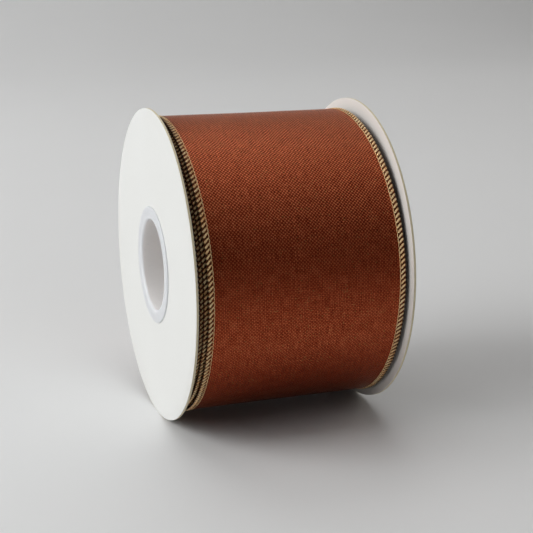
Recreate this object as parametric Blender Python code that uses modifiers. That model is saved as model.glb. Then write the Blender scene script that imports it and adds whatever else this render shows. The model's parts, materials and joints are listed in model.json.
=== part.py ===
"""A ribbon spool: wired fabric ribbon wound on a paperboard spool with two plastic hubs.

The spool's axis runs along X and +Z is up. The spool stands on the rims of its two flanges,
and the origin is on the floor under its middle. Lengths are in metres. An angle round the
axis is measured from straight up, over the top, towards the back (+Y).
"""

import math

import bmesh
import bpy
from mathutils import Matrix

MM = 0.001
MERGE_DISTANCE = 0.01 * MM
WELD_DISTANCE = 0.001 * MM
SHARP_ANGLE = math.radians(40)  # edges that turn more than this stay sharp

# Spool
FLANGE_RADIUS = 50.8 * MM
FLANGE_THICKNESS = 0.8 * MM
FLANGE_SPACING = 70.4 * MM  # between the outer faces of the two flanges
FLANGE_SIDES = 72
AXIS_HEIGHT = FLANGE_RADIUS * math.cos(math.pi / FLANGE_SIDES)  # a flat side is at the bottom
INNER_FACE = FLANGE_SPACING / 2 - FLANGE_THICKNESS  # from the middle to a flange's inner face
FIT_GAP = 0.3 * MM  # between pieces that touch on the real spool
THIN_GAP = 0.15 * MM  # between thin pieces that touch

# Hubs and core
BORE_RADIUS = 14.75 * MM
LIP_RADIUS = 19.1 * MM
LIP_PROUD = 0.9 * MM  # the lip's face stands this far outside the flange
LIP_ROUNDING = 0.45 * MM
SLEEVE_RADIUS = 16.0 * MM
SLEEVE_DEPTH = 16.0 * MM  # from the flange's outer face, into the core
TAPER_DEPTH = 0.5 * MM  # the sleeve's end is this much smaller in radius
TAPER_LENGTH = 1.0 * MM
SLOT_DEPTH = 9.0 * MM
SLOT_WIDTH = 1.6 * MM
SLOT_CUTS = 3  # each cut crosses the sleeve, so it makes two slots
HUB_SIDES = 48
CORE_RADIUS = 20.0 * MM

# Ribbon
RIBBON_WIDTH = 63.5 * MM
RIBBON_SHIFT = 0.6 * MM  # the wound ribbon lies this far to the right of the middle
RIBBON_LENGTH = 4572.0 * MM  # five yards
STITCH_WIDTH = 2.3 * MM  # the overlocked edge on each side
STITCH_THICKNESS = 1.0 * MM
WEB_THICKNESS = 0.4 * MM
WEB_INSET = (STITCH_THICKNESS - WEB_THICKNESS) / 2  # the cloth lies midway through its edges
PEEL_RADIUS = 48.46 * MM  # outside of the last turn, where the loose end starts
PEEL_ANGLE = math.radians(30)
TAIL_ANGLE = math.radians(65)  # how far round the roll the loose end reaches
TAPE_THICKNESS = 0.15 * MM
TAPE_WIDTH = 19.0 * MM
START_TAPE_ANGLE = math.radians(70)
WOUND_INNER_RADIUS = CORE_RADIUS + FIT_GAP + TAPE_THICKNESS + FIT_GAP

# The length of ribbon and the space that it fills give the spacing of its turns.
WOUND_AREA = math.pi * (PEEL_RADIUS ** 2 - WOUND_INNER_RADIUS ** 2)
TURN_PITCH = WOUND_AREA / RIBBON_LENGTH
ROLL_STEP = math.radians(5)

# Edge wires
WIRE_RADIUS = 0.2 * MM
WIRE_POCKET_DEPTH = 1.2 * MM  # into the stitched edge, from the side of the cloth
WIRE_POCKET_MARGIN = 0.5 * MM  # stitching left inside and outside the wire's turns
WIRE_POINTS_PER_TURN = 12


def clear_scene():
    for item in list(bpy.data.objects):
        bpy.data.objects.remove(item, do_unlink=True)


def new_collection(name):
    collection = bpy.data.collections.new(name)
    bpy.context.scene.collection.children.link(collection)
    return collection


def new_material(name, colour, roughness, metallic=0.0):
    material = bpy.data.materials.new(name)
    material.use_nodes = True
    shader = material.node_tree.nodes["Principled BSDF"]
    shader.inputs["Base Color"].default_value = (*colour, 1.0)
    shader.inputs["Roughness"].default_value = roughness
    shader.inputs["Metallic"].default_value = metallic
    return material


def add_object(name, data, collection, placement):
    item = bpy.data.objects.new(name, data)
    item.matrix_world = placement
    collection.objects.link(item)
    return item


def finish(item, look):
    """Give the piece a material of its own and smooth shading on its round faces."""
    material = new_material(item.name, *look)
    item.data.materials.append(material)
    if item.type == "MESH":
        item.data.shade_smooth()
        item.data.set_sharp_from_angle(angle=SHARP_ANGLE)
    return item


def on_axis(along, turn=0.0):
    """Place a shape made round its own Z axis on the spool's axis, turned about it."""
    return (
        Matrix.Translation((along, 0.0, AXIS_HEIGHT))
        @ Matrix.Rotation(math.pi / 2, 4, "Y")
        @ Matrix.Rotation(turn, 4, "Z")
    )


def mirrored_on_axis(along, turn=0.0):
    """Place a turned shape on the axis with its own +Z towards the left."""
    return on_axis(along) @ Matrix.Rotation(math.pi, 4, "X") @ Matrix.Rotation(turn, 4, "Z")


def spoke(radius, angle):
    """The point at an angle round the axis, in the plane that on_axis stands upright."""
    return (-radius * math.cos(angle), radius * math.sin(angle))


def roll_radius(angle):
    """Radius of the outer side of the last turn of ribbon, growing towards its loose end."""
    return PEEL_RADIUS + TURN_PITCH * (angle - PEEL_ANGLE) / (2 * math.pi)


def angles_between(start, end, step):
    count = max(1, round((end - start) / step))
    return [start + (end - start) * index / count for index in range(count + 1)]


def turned(name, profile, sides, collection, placement):
    """Turn a closed profile of (radius, height) points that runs down its outer side."""
    mesh = bpy.data.meshes.new(name)
    corners = [(radius, 0.0, height) for radius, height in profile]
    edges = [(index, (index + 1) % len(corners)) for index in range(len(corners))]
    mesh.from_pydata(corners, edges, [])
    item = add_object(name, mesh, collection, placement)
    screw = item.modifiers.new("turn", "SCREW")
    screw.axis = "Z"
    screw.steps = sides
    screw.render_steps = sides
    screw.use_merge_vertices = True
    screw.merge_threshold = MERGE_DISTANCE
    screw.use_smooth_shade = True
    return item


def ring_profile(inner, outer, bottom, top):
    return [(outer, top), (outer, bottom), (inner, bottom), (inner, top)]


def outline_curve(name, loops, thickness, collection, placement):
    """A flat outline of one or more closed loops, given a thickness along the axis."""
    curve = bpy.data.curves.new(name, "CURVE")
    curve.dimensions = "2D"
    curve.fill_mode = "BOTH"
    curve.extrude = thickness / 2
    for loop in loops:
        spline = curve.splines.new("POLY")
        spline.points.add(len(loop) - 1)
        for point, (x, y) in zip(spline.points, loop):
            point.co = (x, y, 0.0, 1.0)
        spline.use_cyclic_u = True
    return add_object(name, curve, collection, placement)


def as_mesh(item, collection):
    """Replace a curve object by a closed mesh of the same shape, which a cut can work on."""
    name = item.name
    placement = item.matrix_world.copy()
    evaluated = item.evaluated_get(bpy.context.evaluated_depsgraph_get())
    mesh = bpy.data.meshes.new_from_object(evaluated)
    bpy.data.objects.remove(item, do_unlink=True)
    shape = bmesh.new()
    shape.from_mesh(mesh)
    bmesh.ops.remove_doubles(shape, verts=shape.verts, dist=WELD_DISTANCE)
    shape.to_mesh(mesh)
    shape.free()
    mesh.name = name
    return add_object(name, mesh, collection, placement)


def cut(item, cutter):
    cutter.display_type = "WIRE"
    cutter.hide_render = True
    boolean = item.modifiers.new(f"cut_{cutter.name}", "BOOLEAN")
    boolean.operation = "DIFFERENCE"
    boolean.solver = "EXACT"
    boolean.object = cutter


def wound_loop(inset):
    """Outer outline of the wound turns, with one step where the loose end leaves them."""
    angles = angles_between(PEEL_ANGLE - 2 * math.pi, PEEL_ANGLE, ROLL_STEP)
    return [spoke(roll_radius(angle) - inset, angle) for angle in angles]


def circle_loop(radius):
    angles = angles_between(0.0, 2 * math.pi, ROLL_STEP)[:-1]
    return [spoke(radius, angle) for angle in angles]


def strip_loop(radius_at, thickness, start, end):
    """Outline of a strip round the roll; radius_at gives its outer side at an angle."""
    angles = angles_between(start, end, ROLL_STEP)
    outer = [spoke(radius_at(angle), angle) for angle in angles]
    inner = [spoke(radius_at(angle) - thickness, angle) for angle in reversed(angles)]
    return outer + inner


def wire_curve(name, route, collection, placement):
    """A round wire along a list of flat points, capped at both ends."""
    curve = bpy.data.curves.new(name, "CURVE")
    curve.dimensions = "3D"
    curve.bevel_depth = WIRE_RADIUS
    curve.bevel_resolution = 0
    curve.use_fill_caps = True
    spline = curve.splines.new("POLY")
    spline.points.add(len(route) - 1)
    for point, (x, y) in zip(spline.points, route):
        point.co = (x, y, 0.0, 1.0)
    return add_object(name, curve, collection, placement)


# Looks: colour, roughness, metallic
CARD_WHITE = ((0.80, 0.80, 0.81), 0.55)
PLASTIC_WHITE = ((0.82, 0.83, 0.86), 0.30)
CARDBOARD = ((0.42, 0.31, 0.20), 0.85)
RUST_CLOTH = ((0.30, 0.085, 0.030), 0.80)
GOLD_THREAD = ((0.66, 0.45, 0.20), 0.45, 0.6)
WIRE_STEEL = ((0.55, 0.54, 0.52), 0.35, 1.0)
CLEAR_TAPE = ((0.80, 0.78, 0.70), 0.15)

# Ends of the loose end, which starts just past the step in the roll
TAIL_START = PEEL_ANGLE + FIT_GAP / PEEL_RADIUS
TAIL_END = PEEL_ANGLE + TAIL_ANGLE

# Places along the axis
WEB_MIDDLE = RIBBON_SHIFT
WEB_WIDTH = RIBBON_WIDTH - 2 * (STITCH_WIDTH + THIN_GAP)
STITCH_OFFSET = (RIBBON_WIDTH - STITCH_WIDTH) / 2  # from the ribbon's middle to an edge's
WIRE_OFFSET = RIBBON_WIDTH / 2 - STITCH_WIDTH + WIRE_POCKET_DEPTH / 2
SIDES = (("left", -1), ("right", 1))


def build_flange(side, sign, parts):
    """White-faced paperboard disc with a hole for the hub's sleeve."""
    profile = ring_profile(
        SLEEVE_RADIUS + FIT_GAP, FLANGE_RADIUS, -FLANGE_THICKNESS / 2, FLANGE_THICKNESS / 2
    )
    along = sign * (FLANGE_SPACING - FLANGE_THICKNESS) / 2
    half_side = math.pi / FLANGE_SIDES
    placement = on_axis(along, half_side)
    finish(turned(f"flange_{side}", profile, FLANGE_SIDES, parts, placement), CARD_WHITE)


def hub_profile():
    """Rounded lip outside the flange and a tapered sleeve inside it; height 0 is its face."""
    lip_under = FIT_GAP / 2
    round_steps = 3
    rounding = []
    for step in range(round_steps + 1):
        angle = math.pi / 2 * (1 - step / round_steps)
        rounding.append(
            (
                LIP_RADIUS - LIP_ROUNDING * (1 - math.cos(angle)),
                LIP_PROUD - LIP_ROUNDING * (1 - math.sin(angle)),
            )
        )
    sleeve = [
        (LIP_RADIUS, lip_under),
        (SLEEVE_RADIUS, lip_under),
        (SLEEVE_RADIUS, TAPER_LENGTH - SLEEVE_DEPTH),
        (SLEEVE_RADIUS - TAPER_DEPTH, -SLEEVE_DEPTH),
        (BORE_RADIUS, -SLEEVE_DEPTH),
        (BORE_RADIUS, LIP_PROUD - LIP_ROUNDING),
        (BORE_RADIUS + LIP_ROUNDING, LIP_PROUD),
    ]
    return rounding + sleeve


def build_hub(side, sign, parts, cutters):
    """Plastic bush pressed through a flange into the core, its sleeve slotted into fingers."""
    place = on_axis if sign > 0 else mirrored_on_axis
    placement = place(sign * FLANGE_SPACING / 2, math.pi / HUB_SIDES)
    hub = turned(f"hub_{side}", hub_profile(), HUB_SIDES, parts, placement)
    finish(hub, PLASTIC_WHITE)
    for index in range(SLOT_CUTS):
        mesh = bpy.data.meshes.new(f"slot_{side}_{index}")
        shape = bmesh.new()
        size = (4 * SLEEVE_RADIUS, SLOT_WIDTH, 2 * SLOT_DEPTH)  # half of it is past the end
        bmesh.ops.create_cube(shape, size=1.0, matrix=Matrix.Diagonal((*size, 1.0)))
        shape.to_mesh(mesh)
        shape.free()
        turn = math.pi * index / SLOT_CUTS
        slot_place = placement @ Matrix.Translation((0.0, 0.0, -SLEEVE_DEPTH))
        slot = add_object(mesh.name, mesh, cutters, slot_place @ Matrix.Rotation(turn, 4, "Z"))
        cut(hub, slot)


def build_core(parts):
    """Cardboard tube that the ribbon is wound on, between the two flanges."""
    half = INNER_FACE - FIT_GAP
    profile = ring_profile(SLEEVE_RADIUS + FIT_GAP, CORE_RADIUS, -half, half)
    placement = on_axis(0.0, math.pi / HUB_SIDES)
    finish(turned("core_tube", profile, HUB_SIDES, parts, placement), CARDBOARD)


def build_start_tape(parts):
    """Tape round part of the core that holds the ribbon's first turn."""
    radius = CORE_RADIUS + FIT_GAP + TAPE_THICKNESS
    loop = strip_loop(lambda angle: radius, TAPE_THICKNESS, 0.0, START_TAPE_ANGLE)
    placement = on_axis(WEB_MIDDLE)
    finish(outline_curve("start_tape", [loop], TAPE_WIDTH, parts, placement), CLEAR_TAPE)


def build_wound_web(parts):
    """The cloth of all the wound turns, as one roll."""
    loops = [wound_loop(WEB_INSET), circle_loop(WOUND_INNER_RADIUS)]
    placement = on_axis(WEB_MIDDLE)
    finish(outline_curve("ribbon_web", loops, WEB_WIDTH, parts, placement), RUST_CLOTH)


def build_wound_stitch(side, sign, parts, cutters):
    """The gold overlocked edge of the wound turns, open towards the cloth for its wire."""
    along = WEB_MIDDLE + sign * STITCH_OFFSET
    loops = [wound_loop(0.0), circle_loop(WOUND_INNER_RADIUS)]
    name = f"edge_stitch_{side}"
    outline = outline_curve(name, loops, STITCH_WIDTH, parts, on_axis(along))
    edge = finish(as_mesh(outline, parts), GOLD_THREAD)
    pocket = ring_profile(
        WOUND_INNER_RADIUS + WIRE_POCKET_MARGIN,
        PEEL_RADIUS - TURN_PITCH - WIRE_POCKET_MARGIN,
        -WIRE_POCKET_DEPTH,
        WIRE_POCKET_DEPTH,
    )
    web_side = on_axis(along - sign * STITCH_WIDTH / 2)
    cut(edge, turned(f"wire_pocket_{side}", pocket, FLANGE_SIDES, cutters, web_side))


def build_wound_wire(side, sign, parts):
    """The fine wire inside the stitched edge, coiled as often as the ribbon is."""
    corner = math.cos(math.pi / WIRE_POINTS_PER_TURN)
    clear = WIRE_RADIUS + THIN_GAP
    first = (WOUND_INNER_RADIUS + WIRE_POCKET_MARGIN + clear) / corner
    last = PEEL_RADIUS - TURN_PITCH - WIRE_POCKET_MARGIN - clear
    count = math.floor((last - first) / TURN_PITCH * WIRE_POINTS_PER_TURN)
    route = []
    for index in range(count + 1):
        radius = first + TURN_PITCH * index / WIRE_POINTS_PER_TURN
        route.append(spoke(radius, 2 * math.pi * index / WIRE_POINTS_PER_TURN))
    placement = on_axis(WEB_MIDDLE + sign * WIRE_OFFSET)
    finish(wire_curve(f"edge_wire_{side}", route, parts, placement), WIRE_STEEL)


def build_tail_hinge(parts):
    """Empty on the line, on the outside of the roll, where the loose end bends away."""
    lower, across = spoke(PEEL_RADIUS, PEEL_ANGLE)
    place = Matrix.Translation((WEB_MIDDLE, across, AXIS_HEIGHT - lower))
    hinge = add_object("tail_hinge", None, parts, place)
    hinge.empty_display_size = STITCH_WIDTH
    return hinge


def hang_on(item, hinge):
    item.parent = hinge
    item.matrix_parent_inverse = hinge.matrix_world.inverted()


def build_tail_web(parts, hinge):
    """The cloth of the loose end, one layer thick, lying on the roll."""
    loop = strip_loop(
        lambda angle: roll_radius(angle) - WEB_INSET, WEB_THICKNESS, TAIL_START, TAIL_END
    )
    web = outline_curve("tail_web", [loop], WEB_WIDTH, parts, on_axis(WEB_MIDDLE))
    hang_on(finish(web, RUST_CLOTH), hinge)


def build_tail_stitch(side, sign, parts, cutters, hinge):
    """The loose end's stitched edge, slotted along the side of the cloth for its wire."""
    along = WEB_MIDDLE + sign * STITCH_OFFSET
    loop = strip_loop(roll_radius, STITCH_THICKNESS, TAIL_START, TAIL_END)
    name = f"tail_stitch_{side}"
    outline = outline_curve(name, [loop], STITCH_WIDTH, parts, on_axis(along))
    edge = finish(as_mesh(outline, parts), GOLD_THREAD)
    slot_height = 2 * (WIRE_RADIUS + THIN_GAP / 2)
    slot_top = (STITCH_THICKNESS - slot_height) / 2
    past = 2 * ROLL_STEP  # the slot runs out of both ends
    slot_loop = strip_loop(
        lambda angle: roll_radius(angle) - slot_top, slot_height, TAIL_START - past, TAIL_END + past
    )
    web_side = on_axis(along - sign * STITCH_WIDTH / 2)
    slot = outline_curve(f"tail_slot_{side}", [slot_loop], 2 * WIRE_POCKET_DEPTH, cutters, web_side)
    cut(edge, as_mesh(slot, cutters))
    hang_on(edge, hinge)


def build_tail_wire(side, sign, parts, hinge):
    """The loose end's wire, whose tip just shows at the cut end."""
    angles = angles_between(TAIL_START, TAIL_END, ROLL_STEP)
    middle = STITCH_THICKNESS / 2
    route = [spoke(roll_radius(angle) - middle, angle) for angle in angles]
    placement = on_axis(WEB_MIDDLE + sign * WIRE_OFFSET)
    wire = wire_curve(f"tail_wire_{side}", route, parts, placement)
    hang_on(finish(wire, WIRE_STEEL), hinge)


def tape_radius(angle):
    """Outer side of the end tape, which steps down from the loose end to the roll."""
    on_tail = roll_radius(angle) - WEB_INSET + THIN_GAP + TAPE_THICKNESS
    on_roll = on_tail - TURN_PITCH
    step_down = math.radians(5)
    share = min(1.0, max(0.0, (angle - TAIL_END - THIN_GAP / PEEL_RADIUS) / step_down))
    return on_tail + (on_roll - on_tail) * share


def build_end_tape(parts, hinge):
    """Clear tape across the cut end that keeps it on the roll until it is peeled off."""
    reach = math.radians(20)
    loop = strip_loop(tape_radius, TAPE_THICKNESS, TAIL_END - reach, TAIL_END + reach)
    tape = outline_curve("end_tape", [loop], TAPE_WIDTH, parts, on_axis(WEB_MIDDLE))
    hang_on(finish(tape, CLEAR_TAPE), hinge)


def build_spool():
    clear_scene()
    parts = new_collection("ribbon_spool")
    cutters = new_collection("cutters")
    for side, sign in SIDES:
        build_flange(side, sign, parts)
        build_hub(side, sign, parts, cutters)
        build_wound_stitch(side, sign, parts, cutters)
        build_wound_wire(side, sign, parts)
    build_core(parts)
    build_start_tape(parts)
    build_wound_web(parts)
    hinge = build_tail_hinge(parts)
    build_tail_web(parts, hinge)
    for side, sign in SIDES:
        build_tail_stitch(side, sign, parts, cutters, hinge)
        build_tail_wire(side, sign, parts, hinge)
    build_end_tape(parts, hinge)


build_spool()
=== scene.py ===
"""The look of the ribbon spool: wired rust ribbon with gold overlocked edges on a white card spool.

Lengths are in metres. The spool's axis runs along X. An angle round the axis is measured from
straight up, over the top, towards the back (+Y), as in the CAD. The ribbon and everything on it
is built flat, as (across, along, height), and then wound on to the roll: "across" is measured
from the ribbon's middle, "along" from the line where the loose end leaves the roll (negative
inwards), and "height" outwards from the middle of the cloth.
"""

import json
import math

import bmesh
import bpy
import numpy as np
from mathutils import Matrix, Vector

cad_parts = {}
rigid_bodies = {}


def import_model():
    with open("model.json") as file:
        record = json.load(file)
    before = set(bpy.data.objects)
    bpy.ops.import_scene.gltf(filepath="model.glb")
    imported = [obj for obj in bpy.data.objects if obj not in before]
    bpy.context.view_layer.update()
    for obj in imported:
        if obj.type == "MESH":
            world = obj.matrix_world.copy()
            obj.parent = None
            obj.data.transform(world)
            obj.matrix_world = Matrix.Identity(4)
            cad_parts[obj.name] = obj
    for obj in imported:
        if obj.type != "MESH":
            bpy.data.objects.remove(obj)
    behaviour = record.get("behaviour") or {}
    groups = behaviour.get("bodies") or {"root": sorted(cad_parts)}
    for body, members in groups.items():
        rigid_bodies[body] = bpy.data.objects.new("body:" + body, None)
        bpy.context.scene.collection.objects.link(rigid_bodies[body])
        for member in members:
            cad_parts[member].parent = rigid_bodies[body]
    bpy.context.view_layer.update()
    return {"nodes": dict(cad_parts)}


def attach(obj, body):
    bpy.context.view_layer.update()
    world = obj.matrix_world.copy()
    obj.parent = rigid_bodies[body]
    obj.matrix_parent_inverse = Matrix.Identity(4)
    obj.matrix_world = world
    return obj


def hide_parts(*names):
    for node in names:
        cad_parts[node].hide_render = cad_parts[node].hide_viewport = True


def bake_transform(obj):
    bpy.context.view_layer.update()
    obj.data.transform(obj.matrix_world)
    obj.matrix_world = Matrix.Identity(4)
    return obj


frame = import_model()

MM = 0.001
SIDES = (("left", -1), ("right", 1))
SHARP_ANGLE = math.radians(40)

# Spool, as in the CAD but with flatter lips
AXIS_HEIGHT = 50.7516 * MM
FLANGE_OUTER_FACE = 35.2 * MM
FLANGE_THICKNESS = 0.8 * MM
FLANGE_RADIUS = 50.7 * MM
FLANGE_HOLE = 16.1 * MM
FLANGE_SEGMENTS = 192
FLANGE_RINGS = 12
RIM_ROUNDING = 0.12 * MM
WARP_HEIGHT = 0.10 * MM
RIGHT_LEAN = 0.45 * MM
LIP_PROUD = 0.45 * MM
LIP_RADIUS = 19.1 * MM
LIP_ROUNDING = 0.4 * MM
MOUTH_ROUNDING = 0.85 * MM
BORE_RADIUS = 14.75 * MM
SLEEVE_RADIUS = 16.0 * MM
SLEEVE_DEPTH = 16.0 * MM
SLEEVE_STEPS = 8
SLEEVE_TAPER = 1.0 * MM  # the sleeve narrows over this length at its inner end
SLEEVE_TAPER_DEPTH = 0.5 * MM
SEAT_GAP = 0.02 * MM  # between the lip and the flange
SLOT_CUTS = 3  # each one cuts the sleeve on both sides
SLOT_DEPTH = 9.0 * MM
SLOT_WIDTH = 1.6 * MM
HUB_SEGMENTS = 144

# Ribbon
RIBBON_LENGTH = 4572.0 * MM
HALF_WIDTH = 32.0 * MM  # over the stitching
PEEL_ANGLE = math.radians(30)
TAIL_ANGLE = math.radians(65)
PEEL_RADIUS = 48.46 * MM  # outside of the roll where the loose end starts
FIRST_RADIUS = 20.75 * MM  # outside of the first turn on the core
EDGE_THICKNESS = 1.0 * MM
PEEL_MID_RADIUS = PEEL_RADIUS - EDGE_THICKNESS / 2  # middle of the cloth there
TURN_PITCH = math.pi * (PEEL_RADIUS ** 2 - FIRST_RADIUS ** 2) / RIBBON_LENGTH
GROWTH = TURN_PITCH / (2 * math.pi)  # radius gained per radian
TAIL_LENGTH = TAIL_ANGLE * (PEEL_MID_RADIUS + GROWTH * TAIL_ANGLE / 2)
WEB_THICKNESS = 0.26 * MM
ON_CLOTH = 0.02 * MM  # gap under what lies on the cloth
HEM_THICKNESS = 0.56 * MM
HEM_WIDTH = 1.95 * MM
CLOTH_INSET = 0.22 * MM  # from the outside of the stitching to the cloth's own edge
# The hem, from the cloth's edge: (millimetres in, share of the hem's half thickness)
CORD_OUTLINE = ((0.04, 0.45), (0.14, 0.78), (0.30, 0.96), (0.5, 0.92), (0.72, 0.70))
CORD_FOOT = 1.0  # millimetres in, where the cord runs out into the flat cloth
HEM_COLUMNS = (1.5, 2.1, 2.6)
WEB_COLUMNS = 12
WIRE_RADIUS = 0.2 * MM
WIRE_INSET = 0.6 * MM  # from the outside of the stitching to the wire's middle
WIRE_SIDES = 6

# How far the last turns lie to the right of the middle at the front and at the top of the
# roll, outermost first. Each turn moves across at the back and leans to the left at the top.
FRONT_SHIFTS = (1.03 * MM, -0.01 * MM, -0.87 * MM, -1.65 * MM, -2.05 * MM)
TOP_SHIFTS = (-0.53 * MM, -1.30 * MM, -1.70 * MM, -2.00 * MM, -2.05 * MM)
DEEP_SHIFT_SWING = 1.5 * MM
BACK_MOVE = (math.radians(-322), math.radians(-180))  # from one turn's top to the next's front
FRONT_MOVE = (math.radians(-92), math.radians(3))  # and on to its top
TAIL_MOVE = (math.radians(10), math.radians(95))  # the loose end runs a little to the right
TAIL_SHIFT = 0.7 * MM
TOP_SETTLING = 0.42 * MM  # the roll is this much flatter at the top
TOP_LEAN = 0.8  # more so towards its right edge
BOTTOM_SAG = 0.6 * MM
RIPPLE_HEIGHT = 0.035 * MM
WEB_DIP = 0.05 * MM  # of the cloth between its two edges

# Overlock stitching
STITCH_PITCH = 1.58 * MM
STITCH_REACH = 1.95 * MM  # from the ribbon's edge to the line of needle holes
THREAD_HALF_WIDTH = 0.33 * MM
THREAD_HALF_THICKNESS = 0.15 * MM
NEEDLE_HALF_WIDTH = 0.12 * MM
NEEDLE_FLATNESS = 0.8
NEEDLE_SWING = 0.16 * MM
NEEDLE_INSET = 0.08 * MM  # from the laps' inner ends to the needle thread
NEEDLE_LIFT = 0.10 * MM  # of the thread above the cloth between two holes
NEEDLE_STEPS = 6
LAP_SQUARENESS = 0.72  # below 1, a lap of thread is squarer than an ellipse
CORD_HALF_HEIGHT = 0.35 * MM  # of the lap's middle line, round the wired cord at the very edge
BAND_HALF_HEIGHT = 0.16 * MM  # and over the flatter band inside it
CORD_WIDTH = 0.75 * MM
CLOSE_STEPS = 14  # points in one lap of thread on the turn that shows
CLOSE_SIDES = 6
NEAR_STEPS = 10  # the next turns in, seen in the gap beside the flange
NEAR_SIDES = 4
NEAR_TURNS = 3
DEEP_STEPS = 6
DEEP_SIDES = 3


# ---------------------------------------------------------------- winding the ribbon

def mid_radius(along):
    """Radius of the middle of the cloth at a distance along the ribbon."""
    return np.sqrt(np.maximum(PEEL_MID_RADIUS ** 2 + 2 * GROWTH * along, 0.0))


def turn_angle(along):
    """Angle round the axis at a distance along the ribbon; it falls below zero inwards."""
    return PEEL_ANGLE + (mid_radius(along) - PEEL_MID_RADIUS) / GROWTH


def along_at(angle):
    """Distance along the ribbon at an angle round the axis."""
    radius = PEEL_MID_RADIUS + GROWTH * (angle - PEEL_ANGLE)
    return (radius ** 2 - PEEL_MID_RADIUS ** 2) / (2 * GROWTH)


def smooth(value):
    """Ease from 0 to 1, level at both ends."""
    value = np.clip(value, 0.0, 1.0)
    return value * value * (3 - 2 * value)


def turn_shift(shifts, turn):
    """Sideways place of each whole turn, counted inwards from the outermost."""
    last = np.array(shifts)
    index = np.clip(turn, 0, len(last) - 1).astype(int)
    deep = DEEP_SHIFT_SWING * np.sin(0.9 * turn + 0.6)
    return np.where(turn < len(last), last[index], deep)


def ramp(angle, limits):
    """Ease from 0 to 1 between two angles."""
    return smooth((angle - limits[0]) / (limits[1] - limits[0]))


def sideways(angle):
    """Sideways place of the ribbon along its turns."""
    turn = np.maximum(np.ceil((PEEL_ANGLE - angle) / (2 * math.pi)) - 1, 0.0)
    angle = angle + 2 * math.pi * turn
    before = turn_shift(TOP_SHIFTS, turn + 1)
    front = turn_shift(FRONT_SHIFTS, turn)
    top = turn_shift(TOP_SHIFTS, turn)
    tail = np.where(turn == 0, TAIL_SHIFT, 0.0)
    place = before + (front - before) * ramp(angle, BACK_MOVE)
    return place + (top - front) * ramp(angle, FRONT_MOVE) + tail * ramp(angle, TAIL_MOVE)


def wind(flat):
    """Take (across, along, height) points on to the roll."""
    across, along, height = flat[:, 0], flat[:, 1], flat[:, 2]
    angle = turn_angle(along)
    flatter = TOP_SETTLING * np.cos(angle / 2) ** 4 * (1 + TOP_LEAN * across / HALF_WIDTH)
    sagging = BOTTOM_SAG * np.sin(angle / 2) ** 4
    settled = (flatter - sagging) * mid_radius(along) / PEEL_MID_RADIUS
    radius = mid_radius(along) + height - settled
    return np.stack(
        [
            across + sideways(angle),
            radius * np.sin(angle),
            AXIS_HEIGHT + radius * np.cos(angle),
        ],
        axis=1,
    )


# ---------------------------------------------------------------- making meshes

def new_piece(name, points, faces, material):
    """A smooth-shaded object of one material and slot."""
    mesh = bpy.data.meshes.new(name)
    mesh.from_pydata([tuple(p) for p in points], [], faces)
    mesh.validate()
    mesh.materials.append(material)
    piece = bpy.data.objects.new(name, mesh)
    bpy.context.scene.collection.objects.link(piece)
    mesh.shade_smooth()
    mesh.set_sharp_from_angle(angle=SHARP_ANGLE)
    return piece


def add_vectors(piece, name, values):
    """Keep a vector for every corner point, for the material to read."""
    attribute = piece.data.attributes.new(name, "FLOAT_VECTOR", "POINT")
    attribute.data.foreach_set("vector", np.asarray(values, np.float32).ravel())


def tube_faces(rings, sides):
    """Quads that join closed rings of points one after another, with a cap at both ends."""
    faces = []
    for ring in range(rings - 1):
        low = ring * sides
        for side in range(sides):
            after = (side + 1) % sides
            faces.append((low + side, low + after, low + sides + after, low + sides + side))
    last = (rings - 1) * sides
    faces.append(tuple(range(sides - 1, -1, -1)))
    faces.append(tuple(range(last, last + sides)))
    return faces


def unit(vectors):
    return vectors / np.maximum(np.linalg.norm(vectors, axis=1, keepdims=True), 1e-12)


def sweep(path, outward, half_width, half_thickness, sides):
    """An elliptical thread along a path: its points, and (cos, sin, length) round and along it."""
    tangent = unit(np.gradient(path, axis=0))
    normal = unit(outward - tangent * np.sum(outward * tangent, axis=1, keepdims=True))
    beside = np.cross(tangent, normal)
    turn = np.arange(sides) * 2 * math.pi / sides
    ring = (
        beside[:, None, :] * (half_width * np.cos(turn))[None, :, None]
        + normal[:, None, :] * (half_thickness * np.sin(turn))[None, :, None]
    )
    points = (path[:, None, :] + ring).reshape(-1, 3)
    steps = np.linalg.norm(np.diff(path, axis=0), axis=1)
    length = np.concatenate([[0.0], np.cumsum(steps)]) / MM
    around = np.stack(
        [
            np.tile(np.cos(turn), len(path)),
            np.tile(np.sin(turn), len(path)),
            np.repeat(length, sides),
        ],
        axis=1,
    )
    return points, around


def arc(centre, radius, start, end, steps):
    """Points of an arc about a (first, second) centre, from start to end in degrees."""
    angles = np.radians(np.linspace(start, end, steps + 1))
    return [(centre[0] + radius * math.cos(a), centre[1] + radius * math.sin(a)) for a in angles]


def lathe(name, profile, segments, material, warp=None):
    """Turn a closed profile of (place along the axis, radius) points about the axis."""
    points, faces = [], []
    count = len(profile)
    for segment in range(segments):
        angle = 2 * math.pi * segment / segments
        for place, radius in profile:
            lift = warp(radius, angle) if warp else 0.0
            points.append(
                (place + lift, radius * math.sin(angle), AXIS_HEIGHT + radius * math.cos(angle))
            )
    for segment in range(segments):
        low, high = segment * count, (segment + 1) % segments * count
        for index in range(count):
            after = (index + 1) % count
            faces.append((low + index, low + after, high + after, high + index))
    piece = new_piece(name, points, faces, material)
    shape = bmesh.new()
    shape.from_mesh(piece.data)
    bmesh.ops.recalc_face_normals(shape, faces=shape.faces)
    shape.to_mesh(piece.data)
    shape.free()
    return piece


# ---------------------------------------------------------------- materials

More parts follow.
